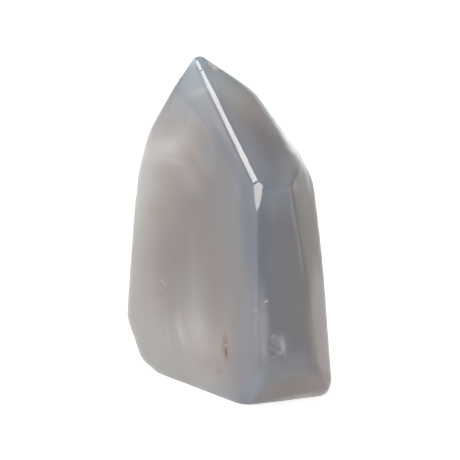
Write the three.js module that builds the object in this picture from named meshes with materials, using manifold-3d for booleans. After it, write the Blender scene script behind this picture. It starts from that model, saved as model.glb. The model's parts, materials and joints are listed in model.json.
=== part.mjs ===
// A polished free-form agate point: a solid stone ground to flat faces that stands on a flat base.
// Millimetres, +Z up, the stone's tip at the top and its base at z = 0.
// The ridge between the broad face and the front face points towards -Y.

import * as THREE from 'three';
import { ConvexGeometry } from 'three/addons/geometries/ConvexGeometry.js';
import { mergeVertices } from 'three/addons/utils/BufferGeometryUtils.js';
import Module from 'manifold-3d';

// The ground faces. Each one faces a compass direction (0 is +X, 90 is +Y) and leans back from upright,
// both in degrees, and lies this far out from the grinding axis. Its rounding is the radius to which
// its edges were polished.
const BASE = { faces: 0, lean: -90, out: 0, rounding: 1.8 };
const BROAD = { faces: -134, lean: 3.5, out: 11.3, rounding: 1.0 };
const FRONT = { faces: -66, lean: 5, out: 22.7, rounding: 1.2 };
const FRONT_HEEL = { faces: -73.5, lean: -19.5, out: 16.9, rounding: 1.8 };
const SIDE = { faces: -24.5, lean: 8.5, out: 26.1, rounding: 3.5 };
const RIGHT_BACK = { faces: 30, lean: 1, out: 17.6, rounding: 3.0 };
const BACK = { faces: 74, lean: 4, out: 20.5, rounding: 5.0 };
const LEFT_BACK = { faces: 120, lean: 5, out: 27.3, rounding: 5.0 };
const LEFT = { faces: 171, lean: 5, out: 28.3, rounding: 7.0 };
const LEFT_HEEL = { faces: 182, lean: -24, out: 18.8, rounding: 7.0 };
const LEFT_FOOT = { faces: 192, lean: -54.5, out: 9.9, rounding: 3.0 };
const LEFT_SHOULDER = { faces: 166.5, lean: 17.2, out: 38.0, rounding: 7.0 };
const LEFT_BROW = { faces: 154.5, lean: 33.9, out: 52.2, rounding: 5.7 };
const LEFT_CROWN = { faces: 137.4, lean: 45.9, out: 61.8, rounding: 4.2 };
const CROWN = { faces: -60.6, lean: 38.7, out: 47.85, rounding: 1.1 };
const RIDGE_BEVEL = { faces: -102, lean: 25.7, out: 36.96, rounding: 0.35 };
const SHOULDER_BEVEL = { faces: -100.2, lean: 10.8, out: 24.97, rounding: 0.5 };
const RIGHT_CROWN = { faces: 46.4, lean: 42, out: 50.95, rounding: 1.3 };
const RIGHT_SHOULDER = { faces: 21, lean: 31.1, out: 41.7, rounding: 3.0 };
const BACK_CROWN = { faces: 100, lean: 40, out: 57.0, rounding: 5.0 };
const GROUND_FACES = [
  BASE, BROAD, FRONT, FRONT_HEEL, SIDE, RIGHT_BACK, BACK, LEFT_BACK, LEFT, LEFT_HEEL, LEFT_FOOT,
  LEFT_SHOULDER, LEFT_BROW, LEFT_CROWN, CROWN, RIDGE_BEVEL, SHOULDER_BEVEL, RIGHT_CROWN, RIGHT_SHOULDER,
  BACK_CROWN,
];

// The rounded corners turn in steps of about this many degrees.
const ROUNDING_STEP = 7;

// Small flaws left in the polish. Each is a hollow in one face. It lies this far across that face from the
// grinding axis (to the right is positive, seen from outside) and this high, and it is turned in the face
// by some degrees.
const FLAWS = {
  tipChip: { on: CROWN, across: -3.5, height: 77.9, wide: 3.4, tall: 2.2, deep: 0.5, turn: -40 },
  stepInTipChip: { on: CROWN, across: -2.6, height: 76.6, wide: 2.0, tall: 1.1, deep: 0.35, turn: -44 },
  longPit: { on: BROAD, across: 8.8, height: 13.4, wide: 1.5, tall: 4.8, deep: 0.5, turn: -5 },
  smallPitBelow: { on: BROAD, across: 7.3, height: 7.0, wide: 1.1, tall: 1.9, deep: 0.3, turn: -30 },
  shellChip: { on: FRONT, across: 3.1, height: 15.7, wide: 3.0, tall: 5.2, deep: 0.5, turn: -18 },
  deepSideOfShellChip: { on: FRONT, across: 4.0, height: 15.0, wide: 1.2, tall: 3.4, deep: 0.7, turn: -14 },
  nickAboveShellChip: { on: FRONT, across: 0, height: 26.6, wide: 1.4, tall: 0.6, deep: 0.25, turn: 18 },
  nickInRidge: { on: BROAD, across: 18.0, height: 24.7, wide: 0.9, tall: 0.7, deep: 0.3, turn: 0 },
  leftScratch: { on: BROAD, across: -13.6, height: 23.8, wide: 1.9, tall: 0.35, deep: 0.12, turn: -42 },
  rightScratch: { on: BROAD, across: -12.1, height: 23.8, wide: 1.9, tall: 0.35, deep: 0.12, turn: 42 },
};
// A hollow is the mark of an uneven ball pressed into the face.
const HOLLOW_CURVE = 2.5; // the ball's flattened half height, as a multiple of the hollow's depth
const HOLLOW_DETAIL = 4; // how finely the ball is divided
const BREAK_SIZE = 0.06; // the ball's unevenness, as a share of its size
const BREAK_WAVES = { long: 5, cross: 2, steep: 4, slow: 3 }; // waves over the ball, in radians per radius

const PARALLEL_LIMIT = 1e-3; // three faces closer to parallel than this have no usable meeting point
const ON_FACE_LIMIT = 1e-6; // a point this close to a face, in millimetres, lies on it
const SAME_POINT_LIMIT = 1e-4; // points closer than this, in millimetres, are one

const AGATE_COLOUR = '#9d9596';
const AGATE_ROUGHNESS = 0.16;
const AGATE_METALNESS = 0;

const radians = THREE.MathUtils.degToRad;

function outward({ faces, lean }) {
  const level = Math.cos(radians(lean));
  return new THREE.Vector3(
    Math.cos(radians(faces)) * level, Math.sin(radians(faces)) * level, Math.sin(radians(lean)));
}

// The point where three planes meet, each given by its outward direction and its distance.
function meetingPoint(normals, distances) {
  const [a, b, c] = normals;
  const bc = new THREE.Vector3().crossVectors(b, c);
  const ca = new THREE.Vector3().crossVectors(c, a);
  const ab = new THREE.Vector3().crossVectors(a, b);
  const volume = a.dot(bc);
  if (Math.abs(volume) < PARALLEL_LIMIT) return null;
  return new THREE.Vector3()
    .addScaledVector(bc, distances[0])
    .addScaledVector(ca, distances[1])
    .addScaledVector(ab, distances[2])
    .divideScalar(volume);
}

// The stone's corners: every meeting point of three faces that no other face grinds away.
function findCorners(faces) {
  const normals = faces.map(outward);
  const corners = [];
  for (let i = 0; i < faces.length; i++) {
    for (let j = i + 1; j < faces.length; j++) {
      for (let k = j + 1; k < faces.length; k++) {
        const three = [i, j, k];
        const around = three.map((n) => normals[n]);
        const sharp = meetingPoint(around, three.map((n) => faces[n].out));
        if (!sharp) continue;
        if (faces.some((face, n) => normals[n].dot(sharp) > face.out + ON_FACE_LIMIT)) continue;
        // A corner takes the middle rounding of its three faces, as far as the other faces leave room for it.
        let radius = three.map((n) => faces[n].rounding).sort((p, q) => p - q)[1];
        const inward = meetingPoint(around, [1, 1, 1]);
        faces.forEach((face, n) => {
          const room = face.out - normals[n].dot(sharp);
          const need = 1 - normals[n].dot(inward);
          if (!three.includes(n) && need > 0) radius = Math.min(radius, room / need);
        });
        corners.push({ centre: sharp.addScaledVector(inward, -radius), radius, around });
      }
    }
  }
  return corners;
}

// Directions along the arc from one face's outward direction to the next one's, in even steps.
function arc(from, to) {
  const angle = from.angleTo(to);
  const steps = Math.max(1, Math.round(angle / radians(ROUNDING_STEP)));
  const directions = [];
  for (let s = 0; s <= steps; s++) {
    const t = s / steps;
    directions.push(new THREE.Vector3()
      .addScaledVector(from, Math.sin((1 - t) * angle) / Math.sin(angle))
      .addScaledVector(to, Math.sin(t * angle) / Math.sin(angle)));
  }
  return directions;
}

// Points on the ball that rounds a corner, over the part of it that shows between its three faces.
function cornerPoints({ centre, radius, around: [a, b, c] }) {
  const directions = [...arc(a, b), ...arc(b, c), ...arc(c, a)];
  const steps = Math.max(...[[a, b], [b, c], [c, a]].map(([p, q]) => arc(p, q).length)) - 1;
  for (let i = 1; i < steps; i++) {
    for (let j = 1; i + j < steps; j++) {
      directions.push(new THREE.Vector3()
        .addScaledVector(a, i).addScaledVector(b, j).addScaledVector(c, steps - i - j).normalize());
    }
  }
  return directions.map((direction) => centre.clone().addScaledVector(direction, radius));
}

function sharedVertices(geometry) {
  const plain = geometry.clone();
  plain.deleteAttribute('normal');
  plain.deleteAttribute('uv');
  return mergeVertices(plain, SAME_POINT_LIMIT);
}

const wasm = await Module();
wasm.setup();

function toSolid(geometry) {
  const shared = sharedVertices(geometry);
  return new wasm.Manifold(new wasm.Mesh({
    numProp: 3,
    vertProperties: new Float32Array(shared.attributes.position.array),
    triVerts: new Uint32Array(shared.index.array),
  }));
}

function toGeometry(solid) {
  const { vertProperties, triVerts } = solid.getMesh();
  const geometry = new THREE.BufferGeometry();
  geometry.setAttribute('position', new THREE.BufferAttribute(new Float32Array(vertProperties), 3));
  geometry.setIndex(new THREE.BufferAttribute(new Uint32Array(triVerts), 1));
  geometry.computeVertexNormals();
  return geometry;
}

// What one flaw takes away: a slightly uneven ball, flattened, and set so that it bites only as deep as said.
function flawTool({ on, across, height, wide, tall, deep, turn }) {
  const half = deep * HOLLOW_CURVE;
  const lift = half - deep;
  const opening = Math.sqrt(1 - (lift / half) ** 2);
  const ball = new THREE.IcosahedronGeometry(1, HOLLOW_DETAIL);
  const position = ball.attributes.position;
  const point = new THREE.Vector3();
  const { long, cross, steep, slow } = BREAK_WAVES;
  for (let i = 0; i < position.count; i++) {
    point.fromBufferAttribute(position, i);
    const wave = Math.sin(long * point.x + cross * point.y) * Math.cos(steep * point.y - slow * point.z);
    point.multiplyScalar(1 + BREAK_SIZE * wave);
    position.setXYZ(i, point.x, point.y, point.z);
  }
  ball.scale(wide / 2 / opening, tall / 2 / opening, half);
  ball.translate(0, 0, lift);
  ball.rotateZ(radians(turn));
  const out = outward(on);
  const level = outward({ faces: on.faces, lean: 0 });
  const sideways = outward({ faces: on.faces + 90, lean: 0 });
  const upward = new THREE.Vector3().crossVectors(out, sideways);
  const place = level.multiplyScalar((on.out - height * out.z) / Math.cos(radians(on.lean)))
    .addScaledVector(sideways, across)
    .setZ(height);
  ball.applyMatrix4(new THREE.Matrix4().makeBasis(sideways, upward, out).setPosition(place));
  return toSolid(ball);
}

let solid = toSolid(new ConvexGeometry(findCorners(GROUND_FACES).flatMap(cornerPoints)));
for (const flaw of Object.values(FLAWS)) solid = solid.subtract(flawTool(flaw));

// The base comes to z = 0, with the middle of the stone's box above the origin.
const geometry = toGeometry(solid);
geometry.computeBoundingBox();
const { min, max } = geometry.boundingBox;
geometry.translate(-(min.x + max.x) / 2, -(min.y + max.y) / 2, -min.z);

const agate = new THREE.Mesh(geometry, new THREE.MeshStandardMaterial({
  color: AGATE_COLOUR, roughness: AGATE_ROUGHNESS, metalness: AGATE_METALNESS,
}));
agate.name = 'agate_point';

const object = new THREE.Group();
object.add(agate);

export default object;
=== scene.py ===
import json
import math

import bpy
from mathutils import Matrix, Vector

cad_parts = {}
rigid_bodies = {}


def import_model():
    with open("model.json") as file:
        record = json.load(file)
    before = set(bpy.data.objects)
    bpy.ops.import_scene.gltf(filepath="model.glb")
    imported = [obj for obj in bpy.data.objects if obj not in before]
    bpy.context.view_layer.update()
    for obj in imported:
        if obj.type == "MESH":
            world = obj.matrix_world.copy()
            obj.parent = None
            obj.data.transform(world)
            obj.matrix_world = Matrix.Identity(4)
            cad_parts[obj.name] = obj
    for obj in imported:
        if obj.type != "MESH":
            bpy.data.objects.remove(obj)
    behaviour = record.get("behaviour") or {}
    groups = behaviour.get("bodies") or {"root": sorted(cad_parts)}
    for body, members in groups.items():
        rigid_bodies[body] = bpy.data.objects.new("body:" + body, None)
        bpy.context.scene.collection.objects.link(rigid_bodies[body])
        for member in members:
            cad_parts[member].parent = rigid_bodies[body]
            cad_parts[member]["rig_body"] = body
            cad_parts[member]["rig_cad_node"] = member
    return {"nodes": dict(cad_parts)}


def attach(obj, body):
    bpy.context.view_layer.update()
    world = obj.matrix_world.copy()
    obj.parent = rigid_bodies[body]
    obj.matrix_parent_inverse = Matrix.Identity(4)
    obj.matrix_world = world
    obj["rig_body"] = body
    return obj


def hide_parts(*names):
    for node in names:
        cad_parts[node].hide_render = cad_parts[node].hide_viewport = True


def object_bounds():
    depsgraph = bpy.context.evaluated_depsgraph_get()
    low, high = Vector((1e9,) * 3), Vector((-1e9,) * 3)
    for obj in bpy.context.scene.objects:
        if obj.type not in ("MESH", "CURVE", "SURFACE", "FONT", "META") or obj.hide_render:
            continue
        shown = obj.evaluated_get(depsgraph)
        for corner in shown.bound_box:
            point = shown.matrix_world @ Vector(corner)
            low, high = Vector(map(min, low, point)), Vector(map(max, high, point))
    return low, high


# A polished agate point that stands on its flat base, in metres, +Z up.
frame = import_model()
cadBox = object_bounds()
tipHeight = cadBox[1][2]
mm = 0.001


def activate(piece):
    bpy.ops.object.select_all(action="DESELECT")
    piece.select_set(True)
    bpy.context.view_layer.objects.active = piece


def applyModifier(piece, kind, **settings):
    activate(piece)
    modifier = piece.modifiers.new(kind, kind)
    for name, value in settings.items():
        setattr(modifier, name, value)
    bpy.ops.object.modifier_apply(modifier=modifier.name)


# The stone, ground to flat faces. Hand polishing swells each face a little and leaves it slightly wavy.

stone = {
    "grain": 0.5 * mm,  # how fine its mesh is
    "foot": 3.0 * mm,  # how much longer it is until the base is cut flat
    "flatAngle": 0.6,  # degrees, neighbours closer than this are one ground face
    "wideFace": 3.0 * mm,  # a face at least this wide swells
    "swell": 0.2 * mm,  # how far the middle of a wide face stands out
    "bow": 0.08 * mm,  # how far a long edge bows out half way up
    "reach": 3.5 * mm,  # the swelling rises over about this far from an edge
    "softening": 4,  # rounds of smoothing on all edges
    "wearing": 80,  # rounds of smoothing on the worn edges
    "refill": 0.12 * mm,  # given back to the edges that the smoothing shrinks
    "edgeBevel": 0.04 * mm,  # how deep the edge between the two facets is taken off
    "wave": 0.03 * mm,  # unevenness of the polish
    "waveLength": 12.0 * mm,
    "creaseAngle": 9,  # degrees, a bend sharper than this is a crease
    "sameWay": 0.9995,  # cosine above which two faces look the same way
    "nearlySameWay": 0.998,  # and above which they nearly do
    "cutPrecision": 0.0001 * mm,
}

# How the edges are worn round. Each pair says where the wear begins to change and where it has changed.
wear = {
    "fromCrispEdges": (0.5 * mm, 6 * mm),  # it grows away from the borders along the front
    "foot": 0.7,  # the edges of the foot are worn at least this much
    "footTop": (12 * mm, 24 * mm),  # up to this height
    "spared": 0.7,  # how much less the right side is worn
    "sparedFrom": (12 * mm, 18 * mm),  # so far to the right
    "sparedBelow": (25 * mm, 40 * mm),  # so far below the tip
    "belowTip": (1 * mm, 8 * mm),  # the tip itself stays sharp
}

# Where the stone is fuller, or less full, than its flat faces: the middle, how wide, and how much
fuller = {
    "rightOfTip": {"at": (3.2 * mm, -1.2 * mm, 73.6 * mm), "size": 10 * mm, "out": 0.42 * mm},
    "rightSide": {"at": (22.2 * mm, -6.0 * mm, 30 * mm), "size": 26 * mm, "out": 0.33 * mm},
    "rightFoot": {"at": (24.3 * mm, -11.2 * mm, 0.5 * mm), "size": 3.5 * mm, "out": 0.3 * mm},
    "leftShoulder": {"at": (-22.1 * mm, 9.8 * mm, 47.1 * mm), "size": 9 * mm, "out": -0.22 * mm},
    "leftFoot": {"at": (-21.0 * mm, 6.2 * mm, 2.5 * mm), "size": 6 * mm, "out": 0.25 * mm},
}

# The big ground faces that look different inside, and the two narrow facets along the front ridge:
# where they face and how they lean back, in degrees, and how far out the facets are
grounds = {
    "broad": {"towards": -134, "lean": 3.5},
    "front": {"towards": -66, "lean": 5},
    "side": {"towards": -24.5, "lean": 8.5},
    "crown": {"towards": -60.6, "lean": 38.7},
    "heel": {"towards": -73.5, "lean": -19.5},
}
bevels = {
    "ridge": {"towards": -102.06, "lean": 25.7, "out": 38.183 * mm},
    "shoulder": {"towards": -93.5, "lean": 10.2, "out": 26.806 * mm},
}


def facing(towards, lean):
    level = math.cos(math.radians(lean))
    return Vector((
        math.cos(math.radians(towards)) * level,
        math.sin(math.radians(towards)) * level,
        math.sin(math.radians(lean)),
    ))


def groundStone():
    # The chips come later, so the hull of the merged copy gives the stone as it was ground.
    activate(frame["nodes"]["agate_point"])
    bpy.ops.object.duplicate()
    piece = bpy.context.active_object
    piece.parent = None
    # The copy is a piece of its own, so it drops what marks a CAD node.
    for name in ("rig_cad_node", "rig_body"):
        if name in piece:
            del piece[name]
    piece.name = piece.data.name = "agateStone"
    bpy.ops.object.mode_set(mode="EDIT")
    bpy.ops.mesh.select_all(action="SELECT")
    bpy.ops.mesh.remove_doubles(threshold=0.001 * mm)
    bpy.ops.mesh.convex_hull()
    bpy.ops.mesh.select_all(action="SELECT")
    bpy.ops.mesh.dissolve_limited(angle_limit=math.radians(stone["flatAngle"]))
    bpy.ops.object.mode_set(mode="OBJECT")
    return piece


def cutOff(piece, place, direction):
    bpy.ops.object.mode_set(mode="EDIT")
    bpy.ops.mesh.select_all(action="SELECT")
    bpy.ops.mesh.bisect(plane_co=place, plane_no=direction, threshold=stone["cutPrecision"],
                        use_fill=True, clear_outer=True)
    bpy.ops.object.mode_set(mode="OBJECT")


def nearestFace(mesh, bevel):
    direction = facing(bevel["towards"], bevel["lean"])
    alike = [face for face in mesh.polygons if face.normal.dot(direction) > stone["nearlySameWay"]]
    return max(alike, key=lambda face: face.area)


def borderOf(mesh, polygon):
    corners = [mesh.vertices[i].co.copy() for i in polygon.vertices]
    return list(zip(corners, corners[1:] + corners[:1]))


def wideFaces(piece):
    # Each wide face is kept as its direction, its distance out and its border.
    wide = []
    for polygon in piece.data.polygons:
        border = borderOf(piece.data, polygon)
        around = sum((b - a).length for a, b in border)
        if 4 * polygon.area / around > stone["wideFace"]:
            wide.append((polygon.normal.copy(), polygon.normal.dot(border[0][0]), border))
    return wide


def bevelBorders(piece):
    # The borders of the two narrow facets and of the front, which stay crisp.
    borders = []
    for bevel in list(bevels.values()) + [grounds["front"]]:
        borders += borderOf(piece.data, nearestFace(piece.data, bevel))
    return borders


def evenMesh(piece):
    # The foot is drawn out below the floor first, so that its edge stays crisp when it is cut flat.
    bpy.ops.object.mode_set(mode="EDIT")
    bpy.ops.mesh.select_mode(type="FACE")
    bpy.ops.mesh.select_all(action="DESELECT")
    bpy.ops.object.mode_set(mode="OBJECT")
    min(piece.data.polygons, key=lambda polygon: polygon.normal.z).select = True
    bpy.ops.object.mode_set(mode="EDIT")
    bpy.ops.mesh.extrude_region_move(TRANSFORM_OT_translate={"value": (0, 0, -stone["foot"])})
    bpy.ops.object.mode_set(mode="OBJECT")
    applyModifier(piece, "REMESH", mode="VOXEL", voxel_size=stone["grain"], adaptivity=0)


def distanceToBorder(point, border):
    nearest = math.inf
    for a, b in border:
        along = b - a
        share = min(max((point - a).dot(along) / along.length_squared, 0), 1)
        nearest = min(nearest, (point - a - along * share).length)
    return nearest


def fullness(point, border):
    # 0 on the border of a face and close to 1 well inside it
    share = 1
    for side in border:
        share *= 1 - math.exp(-distanceToBorder(point, [side]) / stone["reach"])
    return share


def ease(value, start, end):
    share = min(max((value - start) / (end - start), 0), 1)
    return share * share * (3 - 2 * share)


def insideGround(ground, depths, wide):
    # How far inside one ground face a point lies, in mm, and less than nothing on the other faces
    farthest = 5
    towards = facing(ground["towards"], ground["lean"])
    own = []
    others = []
    for depth, (direction, distance, border) in zip(depths, wide):
        if direction.dot(towards) > stone["sameWay"]:
            own.append(depth)
        else:
            others.append(depth)
    return min(max((min(others) - min(own)) / mm, -farthest), farthest)


def standsOut(point, border):
    out = stone["bow"] * math.sin(math.pi * min(max(point.z, 0) / tipHeight, 1))
    out += stone["swell"] * fullness(point, border)
    for place in fuller.values():
        out += place["out"] * (1 - ease((point - Vector(place["at"])).length, 0, place["size"]))
    return out


def wornShare(point, crisp):
    # Worn round at the sides and back, and crisp along the front
    below = tipHeight - point.z
    worn = ease(distanceToBorder(point, crisp), *wear["fromCrispEdges"])
    worn = max(worn, wear["foot"] - ease(point.z, *wear["footTop"]))
    worn *= 1 - wear["spared"] * ease(point.x, *wear["sparedFrom"]) * ease(below, *wear["sparedBelow"])
    return worn * ease(below, *wear["belowTip"])


def swellFaces(piece, wide, crisp):
    full = 1.0 * mm
    swell = piece.vertex_groups.new(name="swell")
    soft = piece.vertex_groups.new(name="soft")
    insides = {name: [] for name in grounds}
    for vertex in piece.data.vertices:
        point = vertex.co
        depths = [distance - normal.dot(point) for normal, distance, border in wide]
        border = wide[depths.index(min(depths))][2]
        for name, ground in grounds.items():
            insides[name].append(insideGround(ground, depths, wide))
        # The group holds 0.5 where nothing is added, so that it can draw in as well.
        swell.add([vertex.index], 0.5 + standsOut(point, border) / full / 2, "REPLACE")
        soft.add([vertex.index], wornShare(point, crisp), "REPLACE")
    for name, values in insides.items():
        piece.data.attributes.new(name + "Inside", "FLOAT", "POINT").data.foreach_set("value", values)
    applyModifier(piece, "SMOOTH", factor=0.5, iterations=stone["softening"])
    applyModifier(piece, "SMOOTH", factor=0.5, iterations=stone["wearing"], vertex_group="soft")
    applyModifier(piece, "DISPLACE", strength=stone["refill"], mid_level=0, vertex_group="soft")
    applyModifier(piece, "DISPLACE", strength=2 * full, mid_level=0, vertex_group="swell")
    applyModifier(piece, "DISPLACE", strength=-full, mid_level=0)
    polish = bpy.data.textures.new("polishWaves", "CLOUDS")
    polish.noise_scale = stone["waveLength"]
    applyModifier(piece, "DISPLACE", strength=stone["wave"], texture=polish, texture_coords="LOCAL")
    bpy.data.textures.remove(polish)


def placeOn(piece, at, behind):
    # Where a level line from in front, or from behind, meets the stone, and how the face lies there.
    side = 1 if behind else -1
    start = Vector((at[0] * mm, side * 100 * mm, at[1] * mm))
    found, place, outward = piece.ray_cast(start, Vector((0, -side, 0)))[:3]
    if not found:
        raise ValueError(f"no stone at {at}")
    across = Vector((0, 0, 1)).cross(outward).normalized()
    return place, across, outward.cross(across), outward


# Chips and scratches: how far right and how high they are as seen from the front, their half length,
# half width and depth, in mm, how they are turned and how far their right side tips in, in degrees, and
# how uneven they are, in mm
chips = {
    "tipChip": {"at": (-3.4, 78.0), "size": (1.7, 0.8, 0.5), "turn": -50, "uneven": 0.8},
    "ridgeBreak": {"at": (-6.0, 77.6), "size": (0.9, 0.16, 0.14), "turn": 24, "uneven": 0.2},
    "longPit": {"at": (-0.3, 13.5), "size": (2.5, 0.55, 0.4), "turn": -84, "uneven": 0.25},
    "pitFoot": {"at": (-1.0, 11.4), "size": (0.6, 0.35, 0.2), "turn": -50, "uneven": 0.4},
    "leftMark": {"at": (-2.2, 7.3), "size": (0.9, 0.12, 0.12), "turn": -66, "uneven": 0.2},
    "rightMark": {"at": (-1.5, 7.3), "size": (0.8, 0.12, 0.12), "turn": 70, "uneven": 0.2},
    "shellChip": {"at": (11.8, 15.7), "size": (2.8, 2.0, 0.45), "turn": -80, "tip": 14, "uneven": 0.45},
    "smallNick": {"at": (8.8, 26.7), "size": (0.6, 0.2, 0.2), "turn": 15, "uneven": 0.4},
    "ridgeNick": {"at": (6.6, 24.7), "size": (0.4, 0.2, 0.12), "turn": 60, "uneven": 0.4},
    "scratch": {"at": (-15.5, 24.1), "size": (0.8, 0.12, 0.1), "turn": -35, "uneven": 0.1},
    "shortScratch": {"at": (-14.7, 24.2), "size": (0.6, 0.1, 0.1), "turn": 25, "uneven": 0.1},
}
bumpWidth = 0.45 * mm  # on a chip's floor


def chipAway(piece, chip):
    place, across, upward, outward = placeOn(piece, chip["at"], False)
    turn = math.radians(chip["turn"])
    longWay = across * math.cos(turn) + upward * math.sin(turn)
    bpy.ops.mesh.primitive_ico_sphere_add(subdivisions=4, radius=1 * mm, location=place)
    lump = bpy.context.active_object
    lump.data.materials.append(bpy.data.materials["brokenPart"])
    bumps = bpy.data.textures.new("lumpBumps", "CLOUDS")
    bumps.noise_scale = bumpWidth
    applyModifier(lump, "DISPLACE", strength=chip["uneven"] * mm, texture=bumps, texture_coords="GLOBAL")
    bpy.data.textures.remove(bumps)
    # The ball's middle stands out by the chip's depth, and its half thickness is twice that. So it
    # reaches in by the depth, and where the surface cuts it, it has this share of its full width.
    cutShare = 0.87
    half, width, deep = chip["size"]
    placed = Matrix((longWay, outward.cross(longWay), outward)).transposed().to_4x4()
    placed = Matrix.Translation(place + outward * deep * mm) @ placed
    tipped = Matrix.Rotation(math.radians(chip.get("tip", 0)), 4, "X")
    size = Matrix.Diagonal((half / cutShare, width / cutShare, deep * 2, 1))
    lump.matrix_world = placed @ tipped @ size
    applyModifier(piece, "BOOLEAN", operation="DIFFERENCE", object=lump, solver="MANIFOLD",
                  material_mode="TRANSFER")
    bpy.data.objects.remove(lump)


def markBroken(piece):
    # The faces that the lumps left are marked with 1 and the others with 0, for the one material.
    broken = []
    for polygon in piece.data.polygons:
        broken += [float(polygon.material_index == 1)] * len(polygon.vertices)
        polygon.material_index = 0
    piece.data.attributes.new("broken", "FLOAT", "CORNER").data.foreach_set("value", broken)
    piece.data.materials.pop(index=1)
    print("broken corners", int(sum(broken)))


print("stone")
agateStone = groundStone()
faces = wideFaces(agateStone)
crispEdges = bevelBorders(agateStone)
evenMesh(agateStone)
swellFaces(agateStone, faces, crispEdges)
for bevel in bevels.values():
    direction = facing(bevel["towards"], bevel["lean"])
    cutOff(agateStone, direction * bevel["out"], direction)
# The edge between the two facets is taken off as well.
between = sum((facing(bevel["towards"], bevel["lean"]) for bevel in bevels.values()), Vector())
edgeOut = sum(bevel["out"] for bevel in bevels.values()) / between.length - stone["edgeBevel"]
cutOff(agateStone, between.normalized() * edgeOut, between.normalized())
cutOff(agateStone, (0, 0, 0), (0, 0, -1))

print("chips")
agateStone.data.materials.clear()
agateStone.data.materials.append(bpy.data.materials.new("polishedPart"))
bpy.data.materials.new("brokenPart")
for chip in chips.values():
    chipAway(agateStone, chip)
markBroken(agateStone)
activate(agateStone)
bpy.ops.object.shade_smooth_by_angle(angle=math.radians(stone["creaseAngle"]), keep_sharp_edges=False)
for bevel in bevels.values():
    facetEdges = set(nearestFace(agateStone.data, bevel).edge_keys)
    for edge in agateStone.data.edges:
        if edge.key in facetEdges:
            edge.use_edge_sharp = True
applyModifier(agateStone, "WEIGHTED_NORMAL", keep_sharp=True)
print("faces", len(agateStone.data.polygons), "wide", len(faces))


# Materials

def newNode(tree, kind, inputs=None, **settings):
    node = tree.nodes.new(kind)
    for name, value in settings.items():
        setattr(node, name, value)
    for name, value in (inputs or {}).items():
        if isinstance(value, bpy.types.NodeSocket):
            tree.links.new(value, node.inputs[name])
        else:
            node.inputs[name].default_value = value
    return node


def newMaterial(name):
    material = bpy.data.materials.new(name)
    material.use_nodes = True
    tree = material.node_tree
    shader = tree.nodes["Principled BSDF"]
    return material, tree, shader


def colourOf(tone):
    # Tones are given as in a colour picker, from 0 to 255.
    return [((level / 255 + 0.055) / 1.055) ** 2.4 for level in tone] + [1]


def noise(tree, place, pattern):
    if "height" in pattern:
        squeezed = {"Vector": place, "Scale": (1, 1, pattern["height"])}
        place = newNode(tree, "ShaderNodeMapping", squeezed).outputs[0]
    inputs = {"Vector": place, "Scale": pattern["scale"], "Detail": pattern["detail"]}
    return newNode(tree, "ShaderNodeTexNoise", inputs)


def meshValue(tree, name):
    return newNode(tree, "ShaderNodeAttribute", attribute_name=name).outputs["Fac"]


def softStep(tree, value, low, high):
    # A smooth step from 0 at low to 1 at high
    inputs = {"Value": value, "From Min": low, "From Max": high}
    return newNode(tree, "ShaderNodeMapRange", inputs, interpolation_type="SMOOTHSTEP").outputs[0]


def shift(tree, operation, inputs):
    return newNode(tree, "ShaderNodeVectorMath", inputs, operation=operation).outputs[0]


def combine(tree, operation, first, second):
    return newNode(tree, "ShaderNodeMath", {0: first, 1: second}, operation=operation).outputs[0]


def mixInto(tree, under, over, share):
    # The node's inputs 0, 6 and 7 are the share and the two colours, and its output 2 is the mixed one.
    inputs = {0: share, 6: under, 7: over}
    return newNode(tree, "ShaderNodeMix", inputs, data_type="RGBA", clamp_factor=True).outputs[2]


def cloudShare(tree, coordinates, cloud):
    place, across, upward, outward = placeOn(agateStone, cloud["at"], cloud.get("behind", False))
    turn = math.radians(cloud["turn"])
    longWay = across * math.cos(turn) + upward * math.sin(turn)
    shortWay = outward.cross(longWay)
    edge = cloud.get("edge", 1)
    grown = mm / (1 - edge / 2)
    mapped = newNode(tree, "ShaderNodeMapping", {
        "Vector": coordinates,
        "Location": place,
        "Rotation": Matrix((longWay, shortWay, outward)).transposed().to_euler(),
        "Scale": (cloud["size"][0] * grown, cloud["size"][1] * grown, cloud.get("deep", 6) * grown),
    }, vector_type="TEXTURE")
    ball = newNode(tree, "ShaderNodeTexGradient", {"Vector": mapped.outputs[0]},
                   gradient_type="SPHERICAL")
    return newNode(tree, "ShaderNodeMapRange", {
        "Value": ball.outputs["Fac"],
        "From Max": edge,
        "To Max": cloud["strength"],
    }, interpolation_type="SMOOTHSTEP").outputs[0]


def layClouds(tree, coordinates, colour, clouds):
    for cloud in clouds.values():
        share = cloudShare(tree, coordinates, cloud) if "at" in cloud else cloud["strength"]
        if "face" in cloud:
            inset, blur = cloud.get("inset", 0), cloud.get("blur", 0.2)
            inside = meshValue(tree, cloud["face"] + "Inside")
            inside = softStep(tree, inside, inset - blur, inset + blur)
            share = combine(tree, "MULTIPLY", share, inside)
        colour = mixInto(tree, colour, colourOf(cloud["tone"]), share)
    return colour


agate = {
    "skin": (118, 119, 130),
    "skinMilky": (128, 128, 134),
    "core": (126, 120, 118),
    "coreRose": (135, 122, 120),
    "edge": (148, 158, 166),  # beyond the broad face
    "edgeShare": 0.5,
    "edgeBand": (0.4, 1.5),  # mm beyond it where this tone begins and is full
    "darkStreak": (96, 98, 104),
    "lightStreak": (158, 156, 156),
    "streaks": 0.03,  # how strong the fine upright streaks are
    "drift": 2.0 * mm,  # how far the clouds are pulled out of shape
    "roughness": 0.07,
    "brokenTone": (190, 188, 186),
    "brokenPale": 0.5,
    "brokenRough": 0.35,
    "bending": 1.54,  # refractive index
    "glow": 0.6,  # share of light that travels under the surface
    "glowDepth": 1.0 * mm,
    "glowTint": (1.0, 0.9, 0.95),
}

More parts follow.
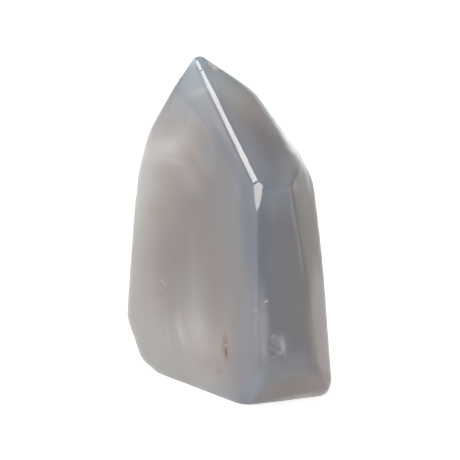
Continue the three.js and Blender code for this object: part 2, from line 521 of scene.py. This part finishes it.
# Patterns in the stone. A small height draws one out upright. Shows, dark and light say which of its
# values count as nothing and which as full.
patterns = {
    "drift": {"scale": 70, "detail": 1.5},
    "wisps": {"scale": 160, "detail": 3, "height": 0.22, "shows": (0.3, 0.7)},
    "blotches": {"scale": 55, "detail": 2, "shows": (0.35, 0.65)},
    "streaks": {"scale": 620, "detail": 2, "height": 0.06, "dark": (0.5, 0.72), "light": (0.5, 0.28)},
}

# Clouds in the stone, laid over each other in this order. The middle of a cloud is where a level line
# from in front, or from behind, meets the stone, so far right and so high in mm. At its size, also in mm,
# it has half its strength, and it reaches 6 mm in unless it says how deep. It fades from its middle
# outwards, or has a clearer border with a smaller edge. A cloud with a face keeps to that ground face:
# inset, in mm, moves its border in, and blur softens it. A cloud without a place fills its face.
# Another program, which compared a render with the photo, solved 23 tones and shifted about 40 more.
heartClouds = {
    # Painted light: the broad face lighter towards its left side, where the light falls on it and shines
    # through the thin edge.
    "leftGlow": {"at": (-22.6, 31.1), "size": (32.4, 9.8), "turn": 87,
        "tone": (157, 156, 153), "strength": 1.0},
    "upperGlow": {"at": (-16.1, 58.3), "size": (14.3, 7.7), "turn": 58,
        "tone": (172, 169, 166), "strength": 1.0},
    "spout": {"at": (-6.2, 61.4), "size": (8.3, 3.8), "turn": -63,
        "tone": (150, 144, 140), "strength": 0.8, "edge": 0.5},
    "paleCloud": {"at": (-17.6, 55.8), "size": (5.6, 2), "turn": 23,
        "tone": (186, 185, 181), "strength": 0.7},
    "upperShade": {"at": (-14.5, 64.5), "size": (9.2, 3.1), "turn": 57,
        "tone": (134, 134, 138), "strength": 0.5},
    "paleArc": {"at": (-14.6, 54.2), "size": (5.2, 0.7), "turn": 3,
        "tone": (179, 178, 172), "strength": 0.6},
    "paleLine": {"at": (-9.0, 65.0), "size": (4.2, 0.4), "turn": 68,
        "tone": (166, 163, 160), "strength": 0.5},
    "roseShade": {"at": (-17.0, 34.3), "size": (13.4, 5.6), "turn": -86,
        "tone": (128, 116, 113), "strength": 0.7},
    "pinkDome": {"at": (-14.2, 45.9), "size": (8.2, 5.9), "turn": -80,
        "tone": (141, 129, 125), "strength": 0.7, "edge": 0.7},
    "pinkUpper": {"at": (-13.1, 64.8), "size": (4.9, 3.3), "turn": 60,
        "tone": (142, 133, 130), "strength": 0.5},
    "pinkSpout": {"at": (-5.0, 62.7), "size": (4, 1.5), "turn": -58,
        "tone": (146, 136, 133), "strength": 0.5},
    "greyHeart": {"at": (-6.0, 42.0), "size": (12.4, 7.4), "turn": -81,
        "tone": (119, 115, 115), "strength": 0.7},
    "heartSide": {"at": (1.3, 41.8), "size": (15.5, 4.2), "turn": -81,
        "tone": (120, 121, 125), "strength": 0.8},
    "flow": {"at": (-8.2, 25.2), "size": (10.8, 1.4), "turn": -85,
        "tone": (138, 133, 132), "strength": 0.6},
    "pinkSide": {"at": (-18.9, 18.6), "size": (11.9, 4.2), "turn": 87,
        "tone": (154, 142, 139), "strength": 0.5},
    "lowerLight": {"at": (-6.8, 16.4), "size": (10.3, 8.2), "turn": -80,
        "tone": (156, 151, 147), "strength": 0.9},
    "milkyHeart": {"at": (-7.0, 15.0), "size": (3.7, 3.1), "turn": -71,
        "tone": (167, 164, 160), "strength": 0.6},
    "milkyFlow": {"at": (-10.8, 14.0), "size": (3.6, 1.5), "turn": -70,
        "tone": (172, 169, 166), "strength": 0.35},
    "milkyStreak": {"at": (-11.2, 12.8), "size": (2.7, 0.7), "turn": -66,
        "tone": (186, 186, 183), "strength": 0.5},
    "flowLine": {"at": (-10.3, 16.7), "size": (2.0, 0.3), "turn": -62,
        "tone": (136, 120, 114), "strength": 0.5},
    "swirl": {"at": (-13.3, 13.1), "size": (4.0, 0.4), "turn": -83,
        "tone": (124, 120, 119), "strength": 0.45},
    "swirlTwo": {"at": (-14.5, 11.4), "size": (3.5, 0.4), "turn": -82,
        "tone": (172, 168, 164), "strength": 0.35},
    "swirlThree": {"at": (-15.5, 10.3), "size": (3.5, 0.4), "turn": -79,
        "tone": (134, 130, 127), "strength": 0.35},
    "redStreak": {"at": (-15.6, 22.1), "size": (3.1, 0.3), "turn": 35,
        "tone": (136, 116, 111), "strength": 0.5},
    "pinkLow": {"at": (-2.7, 13.2), "size": (3.6, 4), "turn": -77,
        "tone": (152, 141, 138), "strength": 0.7},
    "pinkFoot": {"at": (-3.7, 7.1), "size": (4.7, 2), "turn": -3,
        "tone": (142, 130, 127), "strength": 0.5},
    "paleFoot": {"at": (-17.5, 7.9), "size": (7.4, 6.9), "turn": -54,
        "tone": (156, 155, 152), "strength": 0.8},
    # Painted light at the left edge, as above.
    "leftEdgePaintedLight": {"at": (-21.0, 44.8), "size": (8.8, 6.3), "turn": -84,
        "tone": (179, 181, 177), "strength": 0.5},
    "roseLow": {"at": (-11.9, 29.0), "size": (9.4, 5.8), "turn": -87,
        "tone": (112, 110, 111), "strength": 0.5},
    "flowShade": {"at": (-3.4, 24.0), "size": (7.3, 3.3), "turn": -87,
        "tone": (113, 105, 106), "strength": 0.5},
    "footPale": {"at": (-4.7, 2.1), "size": (15.7, 4.4), "turn": 1,
        "tone": (159, 163, 161), "strength": 0.5},
    "milkyLow": {"at": (-10.0, 10.3), "size": (5.5, 6.1), "turn": -88,
        "tone": (161, 155, 155), "strength": 0.5},
    "heartTopSide": {"at": (-4.3, 59.6), "size": (5.9, 2.8), "turn": -61,
        "tone": (112, 118, 128), "strength": 0.5},
    "heartTip": {"at": (-10.7, 66.2), "size": (3.9, 2.6), "turn": -36,
        "tone": (136, 137, 139), "strength": 0.5},
    "leftRose": {"at": (-16.2, 41.4), "size": (3.4, 4.6), "turn": -75,
        "tone": (134, 121, 118), "strength": 0.5},
    "upperLight": {"at": (-8.8, 51.8), "size": (3.2, 3.2), "turn": -62,
        "tone": (152, 145, 143), "strength": 0.5},
}
skinClouds = {
    "ridgeSide": {"face": "broad", "at": (5.2, 42.0), "size": (14.5, 2.7), "turn": -84,
        "tone": (110, 115, 125), "strength": 0.9, "edge": 0.8},
    "ridgeFoot": {"face": "broad", "at": (4.3, 15.5), "size": (12.2, 3.7), "turn": -88,
        "tone": (124, 124, 129), "strength": 0.8},
    "tipBlue": {"at": (-7.3, 77.5), "size": (8, 11), "turn": -86,
        "tone": (148, 158, 165), "strength": 0.9},
    "tipTop": {"at": (-6.6, 79.7), "size": (1.9, 1.1), "turn": -20,
        "tone": (190, 205, 212), "strength": 0.7},
    "frost": {"at": (-6.3, 72.6), "size": (2.7, 0.9), "turn": 24,
        "tone": (182, 188, 194), "strength": 0.35},
    "heartVeil": {"at": (-10.2, 69.6), "size": (3.7, 1.9), "turn": -29,
        "tone": (138, 141, 147), "strength": 0.6},
    "front": {"face": "front", "tone": (103, 104, 110), "strength": 1.0, "inset": 0.15, "blur": 0.3},
    "crown": {"face": "crown", "tone": (140, 144, 153), "strength": 0.9, "inset": -0.3, "blur": 0.4},
    "crownPale": {"face": "crown", "at": (7.1, 68.2), "size": (7.8, 4.3), "turn": -76,
        "tone": (167, 164, 163), "strength": 0.7},
    "brownCore": {"face": "crown", "at": (8.0, 63.8), "size": (9.0, 3.0), "turn": -78,
        "tone": (129, 123, 125), "strength": 0.9, "blur": 1.0},
    "tipShade": {"face": "crown", "at": (0.1, 75.9), "size": (2.9, 2.0), "turn": -78,
        "tone": (138, 146, 148), "strength": 0.6},
    "tipPatch": {"face": "crown", "at": (-2.4, 75.6), "size": (3.6, 2.4), "turn": -69,
        "tone": (164, 174, 181), "strength": 0.6},
    "oliveCrown": {"face": "crown", "at": (3.6, 70.9), "size": (4.6, 3.7), "turn": -61,
        "tone": (150, 144, 141), "strength": 0.8},
    "crownWarm": {"face": "crown", "at": (4.8, 69.2), "size": (3.5, 2.0), "turn": -68,
        "tone": (148, 136, 132), "strength": 0.5},
    "crownStreak": {"face": "crown", "at": (1.3, 65.7), "size": (7.8, 0.6), "turn": -75,
        "tone": (131, 131, 139), "strength": 0.5},
    "frontTop": {"at": (11.1, 51.8), "size": (4.5, 9), "turn": 88,
        "tone": (122, 128, 137), "strength": 0.9},
    "frontBlue": {"face": "front", "at": (8.2, 37.6), "size": (13, 1.5), "turn": 89,
        "tone": (97, 103, 115), "strength": 0.85},
    "frontBrown": {"face": "front", "at": (16, 28), "size": (20, 2.6), "turn": -86,
        "tone": (111, 106, 105), "strength": 0.6},
    # Painted highlight: a pale upright streak where the rounded lower ridge catches the light.
    "lowerRidgeSheen": {"at": (8.3, 18.0), "size": (10.0, 1.2), "turn": -88,
        "tone": (143, 145, 152), "strength": 0.85, "edge": 0.9},
    "frontFoot": {"face": "front", "at": (13, 9.5), "size": (3.0, 8), "turn": 90,
        "tone": (126, 124, 130), "strength": 0.8},
    "side": {"face": "side", "tone": (96, 90, 85), "strength": 1.0, "inset": -0.15, "blur": 0.25},
    "sideLight": {"face": "side", "at": (22.4, 15.7), "size": (15.8, 5.8), "turn": 88,
        "tone": (133, 125, 121), "strength": 1.0, "edge": 0.5, "inset": -0.8, "blur": 0.9},
    "sideTop": {"at": (16.6, 55.0), "size": (6.0, 3.2), "turn": -87,
        "tone": (121, 115, 113), "strength": 0.9},
    "edgeGlow": {"face": "front", "at": (16.2, 42.1), "size": (11.7, 0.6), "turn": -83,
        "tone": (136, 137, 135), "strength": 0.6},
    "edgeLine": {"face": "front", "at": (16.7, 42.3), "size": (12, 0.3), "turn": -86,
        "tone": (84, 82, 80), "strength": 0.5},
    "crownCorner": {"at": (14.7, 56.5), "size": (3.8, 2.4), "turn": 88,
        "tone": (157, 158, 159), "strength": 0.9},
    # Painted reflection: a white rim where the rounded upper right edge catches the bright surroundings.
    "crownRimReflection": {"at": (14.6, 61.0), "size": (5.5, 1.1), "turn": 85,
        "tone": (250, 250, 250), "strength": 0.9},
    "crownRimReflectionLow": {"at": (17.1, 57.2), "size": (3.2, 0.8), "turn": -66,
        "tone": (246, 246, 246), "strength": 0.8},
    "sideRimReflection": {"at": (18.7, 52.5), "size": (3.8, 0.9), "turn": -76,
        "tone": (216, 216, 216), "strength": 0.4},
    "heel": {"face": "heel", "tone": (118, 119, 123), "strength": 1.0, "inset": -0.6, "blur": 0.8},
    "heelBrown": {"at": (17.2, 3.6), "size": (7.5, 2.7), "turn": 3,
        "tone": (130, 118, 112), "strength": 0.9},
    "heelWedge": {"at": (23.2, 5.6), "size": (4.8, 1), "turn": -34,
        "tone": (109, 99, 95), "strength": 0.7},
    "ridgeEnd": {"at": (6.5, 5.7), "size": (4.6, 1.5), "turn": 74,
        "tone": (134, 140, 153), "strength": 0.7},
    "stripPale": {"face": "broad", "at": (-5.4, 68.2), "size": (4.7, 2.0), "turn": -48,
        "tone": (146, 146, 149), "strength": 0.5},
    "stripLow": {"face": "broad", "at": (5.2, 46.9), "size": (8.8, 2.1), "turn": -81,
        "tone": (97, 103, 112), "strength": 0.5},
    "crownTopPale": {"face": "crown", "at": (1.1, 72.8), "size": (4.9, 2.7), "turn": -52,
        "tone": (165, 170, 171), "strength": 0.5},
    "crownLow": {"face": "crown", "at": (11.2, 59.3), "size": (4.4, 3.6), "turn": -75,
        "tone": (121, 123, 129), "strength": 0.5},
    "frontCorner": {"at": (13.4, 53.6), "size": (1.9, 1.9), "turn": -40,
        "tone": (148, 149, 151), "strength": 0.5},
    "heelCorner": {"at": (21.9, 5.2), "size": (2.7, 2.8), "turn": 8,
        "tone": (139, 127, 122), "strength": 0.5},
    "borderShade": {"face": "broad", "at": (0.8, 58.6), "size": (7.2, 1.7), "turn": -49,
        "tone": (104, 109, 118), "strength": 0.5},
    "ridgeLight": {"face": "broad", "at": (-2.4, 67.5), "size": (7.0, 1.1), "turn": -50,
        "tone": (150, 149, 149), "strength": 0.5},
    "cornerShade": {"at": (16.8, 53.7), "size": (2.5, 1.8), "turn": -70,
        "tone": (112, 106, 102), "strength": 0.5},
    "heelWarm": {"at": (17.1, 5.4), "size": (4.0, 1.9), "turn": 0,
        "tone": (117, 108, 105), "strength": 0.5},
    "wedgeShade": {"at": (17.3, 52.1), "size": (4.4, 3.2), "turn": -87,
        "tone": (103, 96, 91), "strength": 0.5},
    "crownEnd": {"at": (16.1, 57.1), "size": (1.9, 1.2), "turn": 71,
        "tone": (183, 184, 186), "strength": 0.5},
    # A faint painted rim reflection lower on the right outline.
    "sideRimReflectionLow": {"at": (20.7, 46.9), "size": (3.5, 2.2), "turn": -87,
        "tone": (112, 105, 99), "strength": 0.5},
    "tipEnd": {"at": (-5.7, 79.2), "size": (1.2, 1.2), "turn": -49,
        "tone": (158, 175, 187), "strength": 0.5},
    "heelEdge": {"at": (16.3, 0.3), "size": (7.8, 1.3), "turn": 3,
        "tone": (186, 182, 178), "strength": 0.5},
    "backGlow": {"behind": True, "at": (-8, 36), "size": (22, 9), "deep": 12, "turn": 84,
        "tone": (152, 146, 142), "strength": 0.8},
    "backRose": {"behind": True, "at": (-14, 20), "size": (12, 6), "deep": 8, "turn": 80,
        "tone": (142, 130, 127), "strength": 0.7},
    "backMilky": {"behind": True, "at": (2, 16), "size": (9, 6), "deep": 8, "turn": -70,
        "tone": (158, 155, 151), "strength": 0.7},
    "backShade": {"behind": True, "at": (6, 40), "size": (14, 5), "deep": 8, "turn": -85,
        "tone": (110, 111, 118), "strength": 0.7},
    "backTop": {"behind": True, "at": (-6, 66), "size": (9, 7), "deep": 8, "turn": 60,
        "tone": (148, 152, 158), "strength": 0.8},
    "backBrown": {"behind": True, "at": (10, 58), "size": (9, 5), "deep": 8, "turn": -60,
        "tone": (126, 118, 115), "strength": 0.7},
    "backStreak": {"behind": True, "at": (-3, 28), "size": (14, 0.8), "turn": 86,
        "tone": (162, 160, 157), "strength": 0.5},
    "backLine": {"behind": True, "at": (-12, 44), "size": (10, 0.6), "turn": 82,
        "tone": (108, 105, 109), "strength": 0.4},
    "backRight": {"behind": True, "at": (18, 30), "size": (14, 4), "deep": 8, "turn": 88,
        "tone": (134, 126, 123), "strength": 0.6},
}

# Spots in and around the chips. Some are painted light: shade in the shell chip's hollow, highlights
# along its rim, and glints in the pit and at the tip chip.
chipClouds = {
    "pit": {"at": (-0.3, 13.6), "size": (2.6, 0.8), "deep": 3, "turn": -83,
        "tone": (122, 107, 102), "strength": 0.8},
    "pitRed": {"at": (-0.7, 12.2), "size": (1.4, 0.8), "deep": 3, "turn": -72,
        "tone": (128, 110, 105), "strength": 0.6},
    "markRed": {"at": (-1.9, 7.1), "size": (1.1, 0.7), "deep": 3, "turn": -70,
        "tone": (138, 122, 117), "strength": 0.45},
    # A painted glint in the pit.
    "pitGlint": {"at": (-0.3, 13.8), "size": (0.35, 0.35), "deep": 3, "turn": -87,
        "tone": (180, 172, 166), "strength": 0.8},
    # Painted shade in the shell chip's hollow, then a painted highlight along its lit right rim and its
    # lower end.
    "shellPaintedShade": {"at": (11.8, 15.5), "size": (3.6, 2.9), "deep": 3, "turn": -79,
        "tone": (112, 113, 120), "strength": 0.8, "edge": 0.4},
    "shellRimHighlight": {"at": (13.0, 15.5), "size": (1.9, 0.5), "deep": 3, "turn": -81,
        "tone": (158, 159, 163), "strength": 0.8},
    "shellFootHighlight": {"at": (11.7, 13.5), "size": (1.3, 0.4), "deep": 3, "turn": 25,
        "tone": (150, 151, 155), "strength": 0.7},
    "tipSparkle": {"at": (-3.6, 78.1), "size": (1.4, 0.6), "deep": 3, "turn": -40,
        "tone": (205, 208, 208), "strength": 0.6, "edge": 0.8},
    "scratchPale": {"at": (-15.5, 24.1), "size": (0.8, 0.14), "deep": 2, "turn": -40,
        "tone": (206, 200, 196), "strength": 0.4},
    "nickPale": {"at": (8.8, 26.7), "size": (0.5, 0.2), "deep": 2, "turn": 17,
        "tone": (205, 207, 210), "strength": 0.7},
}

# The warm heart of the stone. Towards the ridge it ends in a clear curve, with bluish skin beyond.
heart = {
    "upper": {"at": (-22.3, 35.0), "size": (39.7, 37.3), "deep": 40, "turn": -54,
        "strength": 1.0, "edge": 0.03},
    "foot": {"at": (-9.0, 10.9), "size": (15.2, 16.4), "deep": 20, "turn": -72,
        "strength": 1.0, "edge": 0.6},
}


def driftedPlace(tree, place):
    # Slow noise moves each place a little, so no cloud is a plain oval.
    slow = noise(tree, place, patterns["drift"]).outputs["Color"]
    centred = shift(tree, "SUBTRACT", {0: slow, 1: (0.5, 0.5, 0.5)})
    drift = shift(tree, "SCALE", {0: centred, "Scale": agate["drift"]})
    return shift(tree, "ADD", {0: place, 1: drift})


def skinColour(tree, place):
    pattern = patterns["wisps"]
    wisps = softStep(tree, noise(tree, place, pattern).outputs["Fac"], *pattern["shows"])
    return mixInto(tree, colourOf(agate["skin"]), colourOf(agate["skinMilky"]), wisps)


def heartColour(tree, place):
    pattern = patterns["blotches"]
    blotches = softStep(tree, noise(tree, place, pattern).outputs["Fac"], *pattern["shows"])
    colour = mixInto(tree, colourOf(agate["core"]), colourOf(agate["coreRose"]), blotches)
    colour = layClouds(tree, place, colour, heartClouds)
    # Beyond the broad face the stone looks bluish.
    begins, ends = agate["edgeBand"]
    beyond = softStep(tree, meshValue(tree, "broadInside"), -begins, -ends)
    share = combine(tree, "MULTIPLY", beyond, agate["edgeShare"])
    return mixInto(tree, colour, colourOf(agate["edge"]), share)


def drawStreaks(tree, place, colour):
    pattern = patterns["streaks"]
    streaks = noise(tree, place, pattern).outputs["Fac"]
    for kind in ("dark", "light"):
        share = combine(tree, "MULTIPLY", softStep(tree, streaks, *pattern[kind]), agate["streaks"])
        colour = mixInto(tree, colour, colourOf(agate[kind + "Streak"]), share)
    return colour


def agateMaterial():
    material, tree, shader = newMaterial("polishedAgate")
    place = newNode(tree, "ShaderNodeTexCoord").outputs["Object"]
    drifted = driftedPlace(tree, place)
    upper, foot = (cloudShare(tree, drifted, part) for part in heart.values())
    inHeart = combine(tree, "MAXIMUM", upper, foot)
    colour = mixInto(tree, skinColour(tree, drifted), heartColour(tree, drifted), inHeart)
    colour = layClouds(tree, drifted, colour, skinClouds)
    colour = drawStreaks(tree, drifted, colour)
    # Broken stone is paler and duller than the polish.
    broken = meshValue(tree, "broken")
    paler = combine(tree, "MULTIPLY", broken, agate["brokenPale"])
    colour = mixInto(tree, colour, colourOf(agate["brokenTone"]), paler)
    colour = layClouds(tree, place, colour, chipClouds)
    tree.links.new(colour, shader.inputs["Base Color"])
    rough = newNode(tree, "ShaderNodeMapRange", {
        "Value": broken,
        "To Min": agate["roughness"],
        "To Max": agate["brokenRough"],
    }).outputs[0]
    tree.links.new(rough, shader.inputs["Roughness"])
    shader.inputs["IOR"].default_value = agate["bending"]
    shader.inputs["Subsurface Weight"].default_value = agate["glow"]
    shader.inputs["Subsurface Radius"].default_value = agate["glowTint"]
    shader.inputs["Subsurface Scale"].default_value = agate["glowDepth"]
    return material


print("material")
agateStone.data.materials.clear()
agateStone.data.materials.append(agateMaterial())

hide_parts("agate_point")
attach(agateStone, "root")

# The floor, lights and camera

studio = {
    "floorSize": 12.0,
    "floorTone": 0.8,
    "floorRough": 0.7,
    "floorGlow": 0.55,
    "surround": 0.35,
}

print("studio")
bpy.ops.mesh.primitive_plane_add(size=studio["floorSize"], location=(0, 0, 0))
floor = bpy.context.active_object
floor.name = "paleFloor"
floorMaterial, tree, shader = newMaterial("paleFloor")
shader.inputs["Base Color"].default_value = (studio["floorTone"],) * 3 + (1,)
shader.inputs["Roughness"].default_value = studio["floorRough"]
shader.inputs["Emission Color"].default_value = (1, 1, 1, 1)
shader.inputs["Emission Strength"].default_value = studio["floorGlow"]
floor.data.materials.append(floorMaterial)

scene = bpy.context.scene
world = bpy.data.worlds.new("surround")
scene.world = world
world.use_nodes = True
world.node_tree.nodes["Background"].inputs["Color"].default_value = (1, 1, 1, 1)
world.node_tree.nodes["Background"].inputs["Strength"].default_value = studio["surround"]

lampTone = (1, 0.965, 0.93)

# Where each light stands, as a compass direction and a height in degrees, how far away and how big it
# is, and how bright its surface is
lights = {
    "ridgeLamp": {"towards": -114, "up": 33, "away": 0.75, "wide": 0.15, "tall": 0.30, "bright": 11,
        "tone": lampTone},
    "shoulderLamp": {"towards": -100, "up": 5.6, "away": 0.75, "wide": 0.15, "tall": 0.14, "bright": 9,
        "tone": lampTone},
    "leftPanel": {"towards": 180, "up": 30, "away": 0.9, "wide": 0.8, "tall": 0.7, "bright": 1.6},
    "backPanel": {"towards": 55, "up": 22, "away": 1.0, "wide": 1.0, "tall": 0.7, "bright": 1.6},
    "topPanel": {"towards": -30, "up": 84, "away": 0.9, "wide": 0.5, "tall": 0.5, "bright": 2.6},
}
aim = Vector((0, 0, 50 * mm))
for name, light in lights.items():
    out = facing(light["towards"], light["up"])
    bpy.ops.object.light_add(type="AREA", location=aim + out * light["away"])
    lamp = bpy.context.active_object
    lamp.name = name
    lamp.rotation_euler = out.to_track_quat("Z", "Y").to_euler()
    lamp.data.shape = "RECTANGLE"
    lamp.data.size, lamp.data.size_y = light["wide"], light["tall"]
    lamp.data.energy = light["bright"] * math.pi * light["wide"] * light["tall"]
    lamp.data.color = light.get("tone", (1, 1, 1))
    lamp.visible_camera = False

# The camera looks down by 18 degrees.
view = {
    "place": (0.6 * mm, -429.6 * mm, 177.1 * mm),
    "target": (0.6 * mm, -1.6 * mm, 38.0 * mm),
    "lens": 147.4,  # millimetres, as Blender counts it
    "nearest": 10 * mm,  # what is nearer isn't drawn
}
bpy.ops.object.camera_add(location=view["place"])
camera = bpy.context.active_object
backwards = Vector(view["place"]) - Vector(view["target"])
camera.rotation_euler = backwards.to_track_quat("Z", "Y").to_euler()
camera.data.lens = view["lens"]
camera.data.clip_start = view["nearest"]
scene.camera = camera
scene.view_settings.view_transform = "Standard"
